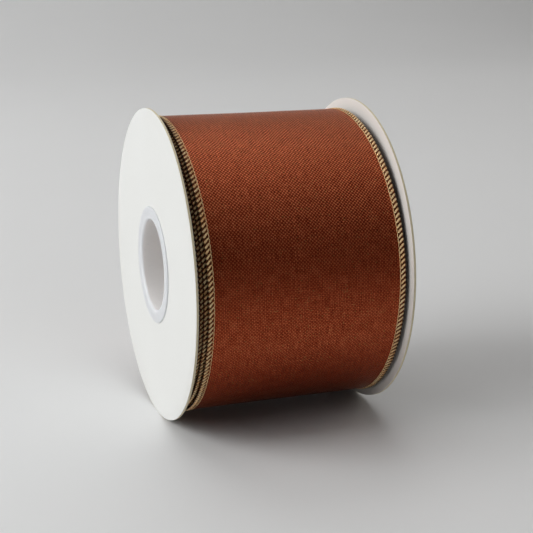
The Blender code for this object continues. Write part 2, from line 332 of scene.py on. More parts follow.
class Look:
    """A node material, with short calls to add nodes and join them."""

    def __init__(self, name):
        self.material = bpy.data.materials.new(name)
        self.material.use_nodes = True
        self.tree = self.material.node_tree
        self.shader = self.tree.nodes["Principled BSDF"]

    def add(self, kind, values=None, **settings):
        """A node with its settings, and with a value or a link for some of its inputs."""
        node = self.tree.nodes.new(kind)
        for key, value in settings.items():
            setattr(node, key, value)
        for key, value in (values or {}).items():
            self.put(node.inputs[key], value)
        return node

    def put(self, socket, value):
        if isinstance(value, bpy.types.NodeSocket):
            self.tree.links.new(value, socket)
        elif isinstance(value, tuple) and socket.type == "RGBA":
            socket.default_value = (*value, 1.0)
        else:
            socket.default_value = value

    def set(self, **inputs):
        """Set the shader's inputs; an underscore stands for a space."""
        for key, value in inputs.items():
            self.put(self.shader.inputs[key.replace("_", " ")], value)

    def math(self, operation, first, second=0.0, third=0.0):
        values = {0: first, 1: second, 2: third}
        return self.add("ShaderNodeMath", values, operation=operation).outputs[0]

    def mix(self, share, first, second):
        """Mix two colours; inputs 6 and 7 and output 2 are the node's colour sockets."""
        node = self.add("ShaderNodeMix", data_type="RGBA")
        self.put(node.inputs["Factor"], share)
        self.put(node.inputs[6], first)
        self.put(node.inputs[7], second)
        return node.outputs[2]

    def noise(self, vector, scale, detail=2.0, roughness=0.5):
        values = {"Vector": vector, "Scale": scale, "Detail": detail, "Roughness": roughness}
        return self.add("ShaderNodeTexNoise", values).outputs["Fac"]

    def span(self, value, low, high, to_low=0.0, to_high=1.0):
        """Take a range of values to another, and clamp it."""
        values = {"Value": value, 1: low, 2: high, 3: to_low, 4: to_high}
        return self.add("ShaderNodeMapRange", values, clamp=True).outputs[0]

    def stretch(self, vector, scale):
        node = self.add("ShaderNodeVectorMath", operation="MULTIPLY")
        self.put(node.inputs[0], vector)
        node.inputs[1].default_value = scale
        return node.outputs[0]

    def attribute(self, name):
        return self.add("ShaderNodeAttribute", attribute_name=name).outputs["Vector"]

    def parts_of(self, vector):
        node = self.add("ShaderNodeSeparateXYZ")
        self.put(node.inputs[0], vector)
        return node.outputs[0], node.outputs[1], node.outputs[2]

    def object_place(self):
        return self.add("ShaderNodeTexCoord").outputs["Object"]

    def bump(self, height, distance, strength=1.0):
        values = {"Height": height, "Distance": distance, "Strength": strength}
        return self.add("ShaderNodeBump", values).outputs["Normal"]


# Rust cloth. Its own coordinates are in millimetres of flat ribbon, so lengths without MM are too.
YARN_PITCH = 0.56
YARN_ROUNDNESS = 0.55
YARN_WAVE = 0.42  # how far a yarn goes over and under the ones it crosses
DRIFT_WARP = (0.35, 0.05, 0.0)  # slow wandering of the yarns, in waves per millimetre
DRIFT_WEFT = (0.05, 0.35, 0.0)
STREAK_WARP = (3.1, 0.20, 0.0)  # streaks of thicker and thinner yarn
STREAK_WEFT = (0.20, 3.1, 0.0)
WARP_STREAKS = 0.56
WEFT_STREAKS = 0.44
BASE_TONE = 0.18
STREAK_TONE = 0.46
CROWN_PAINTED_LIGHT = 0.26  # painted light: the tops of the yarns are painted paler, the hollows between them darker
CHECK_PAINTED_LIGHT = 0.52  # painted light: where the warp lies on top is painted paler than where the weft does
CHECK_BALANCE = 0.66
STREAK_RELIEF = 0.15
WARP_SLOPE = 1.8  # each warp float tips along its length
WEAVE_RELIEF = 0.07 * MM
CLOTH_DEEP = (0.070, 0.0040, 0.0010)
CLOTH_MID = (0.320, 0.040, 0.0110)
CLOTH_PALE = (0.770, 0.220, 0.092)
GLINT_GOLD = (0.75, 0.42, 0.16)
GLINT_WAVES = 2.6  # per millimetre
CHECK_FADE_MIDDLE = -150.0  # the check's painted light is weaker round here
CHECK_FADE_REACH = (52.0, 92.0)
CHECK_FADE_LOW = 0.45
FOOT_SHADE_MIDDLE = -176.0  # painted shade: the cloth is painted darker round the foot of the roll
FOOT_SHADE_REACH = (26.0, 59.0)
FOOT_SHADE_TONE = 0.38
HEM_PAINTED_SHADE = (0.075, 0.024, 0.009)  # painted shade: the hem cloth under and between the gold laps is painted dark
HEM_START = (HALF_WIDTH - STITCH_REACH) / MM - 0.1


def yarn_height(look, beside, length, lift_sign):
    """Height of a set of yarns: round across, and going over and under along."""
    centred = look.math("SUBTRACT", look.math("MULTIPLY", look.math("FRACT", beside), 2.0), 1.0)
    squared = look.math("MULTIPLY", centred, centred)
    round_top = look.math("SQRT", look.math("SUBTRACT", 1.02, squared))  # never below zero
    phase = look.math("ADD", look.math("FLOOR", beside), look.math("SUBTRACT", length, 0.5))
    wave = look.math("COSINE", look.math("MULTIPLY", phase, math.pi))
    lifted = look.math("MULTIPLY", wave, lift_sign * YARN_WAVE)
    return look.math("ADD", look.math("MULTIPLY", round_top, YARN_ROUNDNESS), lifted)


def rust_cloth():
    """Plain weave of rust yarns with a metallic gloss, streaked along both sets of yarns."""
    look = Look("rust_crepe_weave")
    place = look.attribute("ribbon_uv")
    across, along, _ = look.parts_of(place)
    warp_drift = look.noise(look.stretch(place, DRIFT_WARP), 1.0)
    weft_drift = look.noise(look.stretch(place, DRIFT_WEFT), 1.0)
    warp_place = look.math("ADD", look.math("DIVIDE", across, YARN_PITCH), warp_drift)
    weft_place = look.math("ADD", look.math("DIVIDE", along, YARN_PITCH), weft_drift)
    warp = yarn_height(look, warp_place, weft_place, 1.0)
    weft = yarn_height(look, weft_place, warp_place, -1.0)
    height = look.math("MAXIMUM", warp, weft)

    warp_run = look.noise(look.stretch(place, STREAK_WARP), 1.0, 1.0)
    weft_run = look.noise(look.stretch(place, STREAK_WEFT), 1.0, 1.0)
    weft_run = look.math("MULTIPLY", weft_run, WEFT_STREAKS)
    streak = look.span(look.math("MULTIPLY_ADD", warp_run, WARP_STREAKS, weft_run), 0.28, 0.72)
    crown = look.span(height, 0.30, 0.95)
    warp_on_top = look.span(look.math("SUBTRACT", warp, weft), -0.10, 0.10)
    # painted light: the check is painted weaker round one part of the roll
    from_check_fade = look.math("ABSOLUTE", look.math("SUBTRACT", along, CHECK_FADE_MIDDLE))
    contrast = look.span(from_check_fade, *CHECK_FADE_REACH, CHECK_FADE_LOW, 1.0)
    check = look.math("MULTIPLY", look.math("SUBTRACT", warp_on_top, CHECK_BALANCE), contrast)
    tone = look.math("MULTIPLY_ADD", streak, STREAK_TONE, BASE_TONE)
    # painted light: paler yarn tops, darker hollows between the yarns
    tone = look.math("MULTIPLY_ADD", crown, CROWN_PAINTED_LIGHT, tone)
    # painted light: warp-over cells painted paler than weft-over cells
    tone = look.math("MULTIPLY_ADD", check, CHECK_PAINTED_LIGHT, tone)
    # painted shade: darker round the foot of the roll
    from_foot = look.math("ABSOLUTE", look.math("SUBTRACT", along, FOOT_SHADE_MIDDLE))
    foot_shade = look.span(from_foot, *FOOT_SHADE_REACH, FOOT_SHADE_TONE, 1.0)
    tone = look.math("MULTIPLY", tone, foot_shade)
    colour = look.mix(look.span(tone, 0.10, 0.55), CLOTH_DEEP, CLOTH_MID)
    colour = look.mix(look.span(tone, 0.50, 1.0), colour, CLOTH_PALE)
    # painted shade in the hem under the stitching
    in_hem = look.span(look.math("ABSOLUTE", across), HEM_START, HEM_START + 0.4)
    colour = look.mix(look.math("MULTIPLY", in_hem, 0.75), colour, HEM_PAINTED_SHADE)

    glint = look.span(look.noise(place, GLINT_WAVES, 0.0), 0.76, 0.80)
    colour = look.mix(look.math("MULTIPLY", glint, 0.7), colour, GLINT_GOLD)
    look.set(Base_Color=colour)
    look.set(Roughness=look.span(look.math("SUBTRACT", crown, glint), -0.6, 1.0, 0.22, 0.32))
    look.set(Metallic=0.65)
    look.set(Sheen_Weight=0.10, Sheen_Roughness=0.35, Sheen_Tint=(1.0, 0.55, 0.36))
    look.set(Specular_IOR_Level=0.2, Specular_Tint=(0.86, 0.64, 0.50))
    relief = look.math("MULTIPLY_ADD", streak, STREAK_RELIEF, height)
    slope = look.math("SUBTRACT", 0.5, look.math("FRACT", weft_place))
    warp_slope = look.math("MULTIPLY", slope, warp_on_top)
    relief = look.math("MULTIPLY_ADD", warp_slope, WARP_SLOPE, relief)
    look.set(Normal=look.bump(relief, WEAVE_RELIEF))
    return look.material


THREAD_DEEP = (0.150, 0.062, 0.022)
THREAD_MID = (0.97, 0.49, 0.18)
THREAD_PALE_AND_HIGHLIGHT = (1.0, 0.78, 0.45)
THREAD_EDGE_SHADE = (0.045, 0.020, 0.008)  # painted shade: the thread is painted dark at the ribbon's very edge and underneath
TWIST_PITCH = 0.55  # millimetres of thread for one turn of its foil wrap
FOIL_RELIEF = 0.06 * MM


def gold_thread():
    """Metallic foil wrapped round a dark core yarn, with painted light: the side facing out is
    painted paler, with painted highlights, and the side facing the cloth darker.
    """
    look = Look("gold_thread")
    place = look.attribute("thread_uv")
    cosine, sine, length = look.parts_of(place)
    phase = look.math("MULTIPLY", length, 2 * math.pi / TWIST_PITCH)
    foil = look.math(
        "ADD",
        look.math("MULTIPLY", sine, look.math("COSINE", phase)),
        look.math("MULTIPLY", cosine, look.math("SINE", phase)),
    )
    wrap = look.span(foil, -0.9, 0.4)
    spot = look.noise(look.object_place(), 2600.0, 2.0)
    patch = look.noise(look.object_place(), 420.0, 2.0)
    # painted light: the side of the thread facing away from the cloth is painted paler, the side
    # facing it darker
    outward_painted_light = look.span(sine, -0.5, 0.7)
    share = look.math("MULTIPLY_ADD", wrap, 0.25, look.math("MULTIPLY", spot, 0.35))
    share = look.math("MULTIPLY_ADD", outward_painted_light, 0.45, share)
    colour = look.mix(look.span(share, 0.20, 0.60), THREAD_DEEP, THREAD_MID)
    # pale foil, and painted highlights where the outward side and pale patches add up
    colour = look.mix(look.span(look.math("ADD", share, patch), 0.95, 1.35), colour, THREAD_PALE_AND_HIGHLIGHT)
    lap_top, _, _ = look.parts_of(look.attribute("lap_top"))
    # painted shade at the free edge and under the laps
    colour = look.mix(look.span(lap_top, 0.66, 0.93), THREAD_EDGE_SHADE, colour)
    look.set(Base_Color=colour)
    look.set(Metallic=look.span(wrap, 0.0, 1.0, 0.30, 0.70))
    look.set(Roughness=look.span(spot, 0.3, 0.7, 0.22, 0.42), Specular_IOR_Level=0.25)
    look.set(Normal=look.bump(foil, FOIL_RELIEF))
    return look.material


CARD_WHITE = (0.712, 0.710, 0.691)
CARD_SOILED = (0.636, 0.622, 0.590)
# painted light: the inner faces are painted warmer, for light thrown back from the ribbon
CARD_INSIDE_BOUNCE = (0.730, 0.688, 0.653)
CARD_TAN = (0.82, 0.73, 0.51)
CARD_TAN_DARK = (0.62, 0.53, 0.35)
# Places in the board, in millimetres: outwards from the board's middle, or in from its rim
BOARD_MIDDLE = (FLANGE_OUTER_FACE - FLANGE_THICKNESS / 2) / MM
BOARD_CORE = (0.29, 0.34)
INSIDE_FACE = (-0.38, -0.34)
CUT_RIM = (0.16, 0.08)
HANDLED_WIDTH = 5.0


def coated_card():
    """White coated paper on both faces of a tan board, which shows at the cut rim; the inner faces
    carry a warm painted reflection of the ribbon.
    """
    look = Look("coated_card")
    place = look.object_place()
    from_middle, radius, _ = look.parts_of(look.attribute("board_place"))
    outwards = look.math("SUBTRACT", from_middle, BOARD_MIDDLE)
    in_core = look.span(look.math("ABSOLUTE", outwards), *BOARD_CORE, 1.0, 0.0)
    inside = look.span(outwards, *INSIDE_FACE, 1.0, 0.0)
    rim = FLANGE_RADIUS / MM
    at_rim = look.span(radius, rim - CUT_RIM[0], rim - CUT_RIM[1])
    plies = look.noise(look.stretch(place, (9000.0, 500.0, 500.0)), 1.0, 3.0, 0.6)
    tan = look.mix(look.span(plies, 0.35, 0.65), CARD_TAN_DARK, CARD_TAN)

    fibre = look.noise(look.stretch(place, (1.0, 1400.0, 2200.0)), 1.0, 4.0, 0.6)
    cloud = look.noise(place, 45.0, 3.0)
    handled = look.span(radius, rim - HANDLED_WIDTH, rim, 0.0, 0.45)
    soil = look.math("MULTIPLY", look.span(cloud, 0.35, 0.75), look.math("ADD", handled, 0.12))
    # painted reflected light on the inner faces
    face = look.mix(soil, look.mix(inside, CARD_WHITE, CARD_INSIDE_BOUNCE), CARD_SOILED)
    colour = look.mix(look.math("MULTIPLY", in_core, at_rim), face, tan)
    look.set(Base_Color=colour)
    look.set(Roughness=look.span(fibre, 0.3, 0.7, 0.42, 0.58))
    look.set(Specular_IOR_Level=0.4)
    relief = look.math("MULTIPLY_ADD", cloud, 1.5, fibre)
    look.set(Normal=look.bump(relief, 0.01 * MM))
    return look.material


LIP_WHITE = (0.710, 0.714, 0.740)
LIP_DULL = (0.685, 0.689, 0.715)
# painted light: the bore is painted brighter than the lip
BORE_PAINTED_LIGHT = (0.945, 0.905, 0.893)
SCUFF_GREY = (0.62, 0.63, 0.65)


def hub_plastic():
    """Slightly clouded white plastic: cooler on its lip than inside the bore, which is painted
    brighter and warmer as painted light.
    """
    look = Look("hub_plastic")
    place = look.object_place()
    x, _, _ = look.parts_of(place)
    mouth = FLANGE_OUTER_FACE - 0.5 * MM
    in_bore = look.span(look.math("ABSOLUTE", x), mouth, mouth + 0.6 * MM, 1.0, 0.0)
    cloud = look.noise(place, 60.0, 3.0)
    grain = look.noise(place, 1500.0, 3.0)
    scuff = look.noise(look.stretch(place, (300.0, 60.0, 900.0)), 1.0, 4.0, 0.65)
    marks = look.span(scuff, 0.60, 0.72)
    lip = look.mix(look.span(cloud, 0.3, 0.7), LIP_WHITE, LIP_DULL)
    # painted light inside the bore
    colour = look.mix(in_bore, lip, BORE_PAINTED_LIGHT)
    colour = look.mix(look.math("MULTIPLY", marks, 0.25), colour, SCUFF_GREY)
    look.set(Base_Color=colour)
    gloss = look.span(grain, 0.3, 0.7, 0.28, 0.38)
    look.set(Roughness=look.math("MULTIPLY_ADD", marks, 0.15, gloss))
    look.set(Subsurface_Weight=0.4, Subsurface_Scale=0.004, Subsurface_Radius=(1.0, 0.93, 0.90))
    look.set(Normal=look.bump(look.math("ADD", grain, marks), 0.02 * MM, 0.5))
    return look.material


STRIP_WIDTH = 34 * MM  # of the board that the core tube is wound from
BOARD_DARK = (0.27, 0.175, 0.095)
BOARD_PALE = (0.47, 0.345, 0.215)
BOARD_CLOUD = (0.33, 0.23, 0.13)
SEAM_BROWN = (0.13, 0.08, 0.04)


def core_board():
    """Brown board of a spirally wound tube, with the seams of its strips."""
    look = Look("core_board")
    place = look.object_place()
    x, y, z = look.parts_of(place)
    turn = look.math("ARCTAN2", y, look.math("SUBTRACT", z, AXIS_HEIGHT))
    turns = look.math("DIVIDE", turn, 2 * math.pi)
    spiral = look.math("MULTIPLY_ADD", x, 1 / STRIP_WIDTH, turns)
    from_seam = look.math("ABSOLUTE", look.math("SUBTRACT", look.math("FRACT", spiral), 0.5))
    seam = look.span(from_seam, 0.0, 0.02, 1.0, 0.0)
    fibre = look.noise(look.stretch(place, (1800.0, 700.0, 700.0)), 1.0, 4.0, 0.65)
    cloud = look.noise(place, 110.0, 3.0)
    colour = look.mix(look.span(fibre, 0.3, 0.7), BOARD_DARK, BOARD_PALE)
    colour = look.mix(look.span(cloud, 0.4, 0.8, 0.0, 0.35), colour, BOARD_CLOUD)
    colour = look.mix(look.math("MULTIPLY", seam, 0.7), colour, SEAM_BROWN)
    look.set(Base_Color=colour)
    look.set(Roughness=look.span(fibre, 0.3, 0.7, 0.75, 0.92))
    look.set(Normal=look.bump(look.math("SUBTRACT", fibre, seam), 0.05 * MM))
    return look.material


STEEL_DARK = (0.38, 0.36, 0.33)
STEEL_PALE = (0.66, 0.65, 0.62)


def edge_wire():
    """Drawn steel wire with fine lines along it."""
    look = Look("edge_wire")
    place = look.object_place()
    drawn = look.noise(look.stretch(place, (900.0, 2500.0, 2500.0)), 1.0, 3.0)
    colour = look.mix(look.span(drawn, 0.3, 0.7), STEEL_DARK, STEEL_PALE)
    look.set(Base_Color=colour, Metallic=1.0)
    look.set(Roughness=look.span(drawn, 0.3, 0.7, 0.28, 0.45))
    look.set(Normal=look.bump(drawn, 0.01 * MM))
    return look.material


TAPE_YELLOWED = (0.80, 0.78, 0.70)
TAPE_CLEAR = (0.90, 0.89, 0.84)


def clear_tape():
    """Clear tape with a slight haze and small air bubbles."""
    look = Look("clear_tape")
    place = look.object_place()
    haze = look.noise(place, 260.0, 4.0, 0.6)
    bubble = look.span(look.noise(place, 900.0, 1.0), 0.66, 0.72)
    colour = look.mix(look.span(haze, 0.3, 0.7), TAPE_YELLOWED, TAPE_CLEAR)
    look.set(Base_Color=colour)
    look.set(Roughness=look.span(haze, 0.3, 0.7, 0.10, 0.24))
    clear = look.span(haze, 0.3, 0.7, 0.24, 0.34)
    look.set(Alpha=look.math("MULTIPLY_ADD", bubble, 0.2, clear))
    look.set(Normal=look.bump(look.math("SUBTRACT", haze, bubble), 0.03 * MM))
    return look.material


PAPER_DULL = (0.755, 0.755, 0.755)
PAPER_PALE = (0.775, 0.775, 0.775)


def seamless_paper():
    """Matt studio background paper."""
    look = Look("seamless_paper")
    place = look.object_place()
    cloud = look.noise(place, 3.0, 3.0)
    fibre = look.noise(place, 900.0, 3.0)
    colour = look.mix(look.span(cloud, 0.3, 0.7), PAPER_DULL, PAPER_PALE)
    look.set(Base_Color=colour, Roughness=0.6, Specular_IOR_Level=0.18)
    look.set(Normal=look.bump(fibre, 0.02 * MM))
    return look.material


CARD = coated_card()
PLASTIC = hub_plastic()
CORE_BOARD = core_board()
CLOTH = rust_cloth()
THREAD = gold_thread()
WIRE = edge_wire()
TAPE = clear_tape()


# ---------------------------------------------------------------- spool

def flange_profile(sign):
    """Closed outline of a disc with rounded rims; the first value is along the axis."""
    half = FLANGE_THICKNESS / 2
    middle = sign * (FLANGE_OUTER_FACE - half)
    corner = half - RIM_ROUNDING
    rings = np.linspace(FLANGE_HOLE, FLANGE_RADIUS - RIM_ROUNDING, FLANGE_RINGS)
    outline = [(middle - half, radius) for radius in rings[:-1]]
    outline += arc((middle - corner, FLANGE_RADIUS - RIM_ROUNDING), RIM_ROUNDING, 180, 90, 4)
    outline += arc((middle + corner, FLANGE_RADIUS - RIM_ROUNDING), RIM_ROUNDING, 90, 0, 4)
    outline += [(middle + half, radius) for radius in rings[-2::-1]]
    return outline


def flange_warp(sign):
    """Board never lies quite flat; the right flange also leans in at its top."""
    lean = RIGHT_LEAN / 2 if sign > 0 else 0.0

    def warp(radius, angle):
        share = max(0.0, (radius - LIP_RADIUS) / (FLANGE_RADIUS - LIP_RADIUS))
        ripple = WARP_HEIGHT * share ** 2 * math.sin(2 * angle + 0.7)
        return ripple - lean * share * (1 + math.cos(angle))

    return warp


def build_flanges():
    for side, sign in SIDES:
        profile = flange_profile(sign)
        name = f"flange_disc_{side}"
        disc = lathe(name, profile, FLANGE_SEGMENTS, CARD, flange_warp(sign))
        board = [(abs(place) / MM, radius / MM, 0.0) for place, radius in profile]
        add_vectors(disc, "board_place", board * FLANGE_SEGMENTS)
        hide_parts(f"flange_{side}")
        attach(disc, "spool")


def hub_profile(sign):
    """Closed outline of the bush: a rounded lip outside the flange and a sleeve inside it."""
    face = LIP_PROUD
    outline = arc((face - LIP_ROUNDING, LIP_RADIUS - LIP_ROUNDING), LIP_ROUNDING, 0, 90, 6)
    outline += [(SEAT_GAP, LIP_RADIUS), (SEAT_GAP, SLEEVE_RADIUS)]
    depths = [-step * SLEEVE_DEPTH / SLEEVE_STEPS for step in range(1, SLEEVE_STEPS)]
    outline += [(depth, SLEEVE_RADIUS) for depth in depths]
    outline += [(SLEEVE_TAPER - SLEEVE_DEPTH, SLEEVE_RADIUS)]
    outline += [(-SLEEVE_DEPTH, SLEEVE_RADIUS - SLEEVE_TAPER_DEPTH), (-SLEEVE_DEPTH, BORE_RADIUS)]
    outline += [(depth, BORE_RADIUS) for depth in reversed(depths)]
    mouth = (face - MOUTH_ROUNDING, BORE_RADIUS + MOUTH_ROUNDING)
    outline += arc(mouth, MOUTH_ROUNDING, 270, 360, 6)
    return [(sign * (FLANGE_OUTER_FACE + place), radius) for place, radius in outline]


def cut_slots(hub, sign):
    """Three cuts across the inner end of the sleeve leave six springy fingers."""
    end = sign * (FLANGE_OUTER_FACE - SLEEVE_DEPTH)
    size = Matrix.Diagonal((2 * SLOT_DEPTH, SLOT_WIDTH, 4 * SLEEVE_RADIUS, 1.0))
    for index in range(SLOT_CUTS):
        mesh = bpy.data.meshes.new("slot")
        shape = bmesh.new()
        bmesh.ops.create_cube(shape, size=1.0, matrix=size)
        shape.to_mesh(mesh)
        shape.free()
        cutter = bpy.data.objects.new("slot", mesh)
        bpy.context.scene.collection.objects.link(cutter)
        turn = Matrix.Rotation(math.pi * (index / SLOT_CUTS + 1 / 24), 4, "X")
        cutter.matrix_world = Matrix.Translation((end, 0.0, AXIS_HEIGHT)) @ turn
        boolean = hub.modifiers.new("slot", "BOOLEAN")
        boolean.operation = "DIFFERENCE"
        boolean.solver = "EXACT"
        boolean.object = cutter
        apply_modifiers(hub)
        bpy.data.objects.remove(cutter)


def apply_modifiers(piece):
    """Keep the shape that the modifiers make."""
    graph = bpy.context.evaluated_depsgraph_get()
    result = bpy.data.meshes.new_from_object(piece.evaluated_get(graph))
    piece.modifiers.clear()
    piece.data = result


def build_hubs():
    for side, sign in SIDES:
        hub = lathe(f"hub_bush_{side}", hub_profile(sign), HUB_SEGMENTS, PLASTIC)
        cut_slots(hub, sign)
        hub.data.set_sharp_from_angle(angle=SHARP_ANGLE)
        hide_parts(f"hub_{side}")
        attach(hub, "spool")


def finish_core():
    """The core and its tape keep their CAD shapes, because they only show through the bore."""
    for name, material in (("core_tube", CORE_BOARD), ("start_tape", TAPE)):
        node = frame["nodes"][name]
        node.data.materials.clear()
        node.data.materials.append(material)
        for polygon in node.data.polygons:
            polygon.material_index = 0


# ---------------------------------------------------------------- cloth

def half_section():
    """(across, half thickness) of the cloth from its left edge to its middle."""
    edge = -HALF_WIDTH + CLOTH_INSET
    cord = HEM_THICKNESS / 2
    web = WEB_THICKNESS / 2
    points = [(edge, 0.0)]
    points += [(edge + place * MM, cord * share) for place, share in CORD_OUTLINE]
    points.append((edge + CORD_FOOT * MM, web * 1.1))
    points += [(edge + place * MM, web) for place in HEM_COLUMNS]
    start = edge + HEM_COLUMNS[-1] * MM
    for index in range(1, WEB_COLUMNS + 1):
        points.append((start - start * index / WEB_COLUMNS, web))
    return points


def ribbon_section():
    """Closed outline of the ribbon: (across, height) over the outside, and back underneath."""
    half = half_section()
    outer = half + [(-across, height) for across, height in reversed(half[:-1])]
    inner = [(across, -height) for across, height in reversed(outer[1:-1])]
    return outer + inner


def ease(across, along):
    """Slow unevenness of wound cloth: it lies a little lower between its edges."""
    share = np.clip(1 - (across / (HALF_WIDTH - HEM_WIDTH)) ** 2, 0.0, 1.0)
    ripple = np.sin(along / (9 * MM) + 1.3 * np.sin(across / (11 * MM)))
    ripple += 0.6 * np.sin(along / (5.3 * MM) - across / (7 * MM) + 1.0)
    return share * (RIPPLE_HEIGHT * ripple - WEB_DIP)


def build_cloth(name, start, end, steps, *nodes):
    """A length of the ribbon's cloth between two distances along it, capped at both ends."""
    section = np.array(ribbon_section())
    count = len(section)
    along = np.repeat(np.linspace(start, end, steps + 1), count)
    across = np.tile(section[:, 0], steps + 1)
    height = np.tile(section[:, 1], steps + 1)
    flat = np.stack([across, along, height + ease(across, along)], axis=1)
    cloth = new_piece(name, wind(flat), tube_faces(steps + 1, count), CLOTH)
    add_vectors(cloth, "ribbon_uv", np.stack([across, along, height], axis=1) / MM)
    if nodes:
        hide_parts(*nodes)
    return cloth


# ---------------------------------------------------------------- stitching

def power(value, exponent):
    """Raise the size of a number to a power, and keep its sign."""
    return np.sign(value) * np.abs(value) ** exponent


def overlock_path(sign, start, count, steps):
    """Thread that laps the edge once a stitch: slanted on the outside, straight underneath."""
    turns = np.arange(count * steps + 1) / steps
    whole = np.floor(turns + 1e-9)
    angle = 2 * math.pi * turns if sign < 0 else math.pi - 2 * math.pi * turns
    outwards = power(np.cos(angle), LAP_SQUARENESS)
    upwards = power(np.sin(angle), LAP_SQUARENESS)
    over = np.where(turns - whole < 0.5, (1 + sign * outwards) / 2, 1.0)
    middle = HALF_WIDTH - STITCH_REACH / 2
    reach = STITCH_REACH / 2 - THREAD_HALF_THICKNESS
    across = sign * (middle + reach * outwards)
    from_edge = HALF_WIDTH - THREAD_HALF_THICKNESS - np.abs(across)
    flatter = smooth((from_edge - CORD_WIDTH / 2) / CORD_WIDTH)
    rise = CORD_HALF_HEIGHT + (BAND_HALF_HEIGHT - CORD_HALF_HEIGHT) * flatter
    along = start + STITCH_PITCH * (whole + over)
    outward = np.stack([sign * np.cos(angle), 0 * angle, np.sin(angle)], axis=1)
    return np.stack([across, along, rise * upwards], axis=1), outward


def needle_path(sign, start, count, steps):
    """Finer thread along the needle holes, swinging out a little between them."""
    turns = np.arange(count * steps + 1) / steps
    swing = np.abs(np.sin(math.pi * turns))
    inner_ends = HALF_WIDTH - STITCH_REACH
    across = sign * (inner_ends - NEEDLE_INSET - NEEDLE_SWING * (swing - 0.5))
    height = WEB_THICKNESS / 2 + ON_CLOTH + NEEDLE_LIFT * swing
    along = start + STITCH_PITCH * turns
    outward = np.stack([0 * turns, 0 * turns, 0 * turns + 1.0], axis=1)
    return np.stack([across, along, height], axis=1), outward


def build_thread(name, path_maker, sign, start, count, steps, sides, half_size):
    """One thread of a run of stitches. "lap_top" falls from 1 towards the ribbon's free edge; the
    gold thread is painted in shade where it is low.
    """
    path, outward = path_maker(sign, start, count, steps)
    points, around = sweep(path, outward, *half_size, sides)
    faces = tube_faces(len(path), sides)
    thread = new_piece(name, wind(points), faces, THREAD)
    add_vectors(thread, "thread_uv", around)
    top = np.where(sign * outward[:, 0] > 0, outward[:, 2], np.sign(outward[:, 2]))
    add_vectors(thread, "lap_top", np.repeat(np.stack([top] * 3, axis=1), sides, axis=0))
    return thread


def build_stitching(prefix, start, count, steps, sides, with_needle=True):
    """The overlock threads of both edges over a number of stitches."""
    lap = (THREAD_HALF_WIDTH, THREAD_HALF_THICKNESS)
    needle = (NEEDLE_HALF_WIDTH, NEEDLE_HALF_WIDTH * NEEDLE_FLATNESS)
    threads = []
    for side, sign in SIDES:
        name = f"{prefix}_overlock_{side}"
        laps = build_thread(name, overlock_path, sign, start, count, steps, sides, lap)
        threads.append(laps)
        if with_needle:
            name = f"{prefix}_needle_thread_{side}"
            line = build_thread(name, needle_path, sign, start, count, NEEDLE_STEPS, sides, needle)
            line.parent = laps
            threads.append(line)
    return threads


# ---------------------------------------------------------------- the ribbon, wound

OUTER_LENGTH = -along_at(PEEL_ANGLE - 2 * math.pi)
OUTER_STITCHES = round(OUTER_LENGTH / STITCH_PITCH)
NEAR_LENGTH = -along_at(PEEL_ANGLE - 2 * math.pi * (1 + NEAR_TURNS)) - OUTER_LENGTH
NEAR_STITCHES = round(NEAR_LENGTH / STITCH_PITCH)
DEEP_LENGTH = RIBBON_LENGTH - OUTER_LENGTH - NEAR_LENGTH
DEEP_STITCHES = math.floor(DEEP_LENGTH / STITCH_PITCH) - 1
TAIL_STITCHES = round(TAIL_LENGTH / STITCH_PITCH)
OUTER_STEPS = 288
INNER_STEP = 4.0 * MM
TAIL_STEPS = 72


def build_wound_ribbon():
    """The cloth of all the turns, and stitching that is finer towards the outside."""
    outer = build_cloth("ribbon_outer_turn", -OUTER_LENGTH, 0.0, OUTER_STEPS, "ribbon_web")
    inner_steps = round((RIBBON_LENGTH - OUTER_LENGTH) / INNER_STEP)
    inner = build_cloth("ribbon_inner_turns", -RIBBON_LENGTH, -OUTER_LENGTH, inner_steps)
    start = -OUTER_STITCHES * STITCH_PITCH
    close = build_stitching("outer", start, OUTER_STITCHES, CLOSE_STEPS, CLOSE_SIDES)
    start -= NEAR_STITCHES * STITCH_PITCH
    near = build_stitching("near", start, NEAR_STITCHES, NEAR_STEPS, NEAR_SIDES)
    start -= DEEP_STITCHES * STITCH_PITCH
    deep = build_stitching("deep", start, DEEP_STITCHES, DEEP_STEPS, DEEP_SIDES, with_needle=False)
    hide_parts("edge_stitch_left")
    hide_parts("edge_stitch_right")
    for piece in (outer, inner, *close, *near, *deep):
        if piece.parent is None:
            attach(piece, "spool")


FIRST_WIRE_TIP = 2 * MM  # the wire starts this far along the ribbon
LAST_WIRE_TIP = 0.5 * MM  # and stands out this far at its cut end
WOUND_WIRE_STEP = 3 * MM
TAIL_WIRE_STEP = 1.5 * MM


def build_wire(name, sign, start, end, step):
    """The wire inside one edge, between two distances along the ribbon."""
    count = round((end - start) / step)
    along = np.linspace(start, end, count + 1)
    across = np.full(len(along), sign * (HALF_WIDTH - WIRE_INSET))
    path = np.stack([across, along, 0 * along], axis=1)
    outward = np.tile([0.0, 0.0, 1.0], (len(along), 1))
    points, _ = sweep(path, outward, WIRE_RADIUS, WIRE_RADIUS, WIRE_SIDES)
    return new_piece(name, wind(points), tube_faces(len(path), WIRE_SIDES), WIRE)


def build_wires():
    """Fine wire inside both edges; its cut tips show at the end of the ribbon."""
    for side, sign in SIDES:
        start = FIRST_WIRE_TIP - RIBBON_LENGTH
        wound = build_wire(f"wound_wire_{side}", sign, start, 0.0, WOUND_WIRE_STEP)
        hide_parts(f"edge_wire_{side}")
        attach(wound, "spool")


def bend_at_peel(piece):
    """Bake the piece's placement into its mesh; it is not bent."""
    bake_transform(piece)


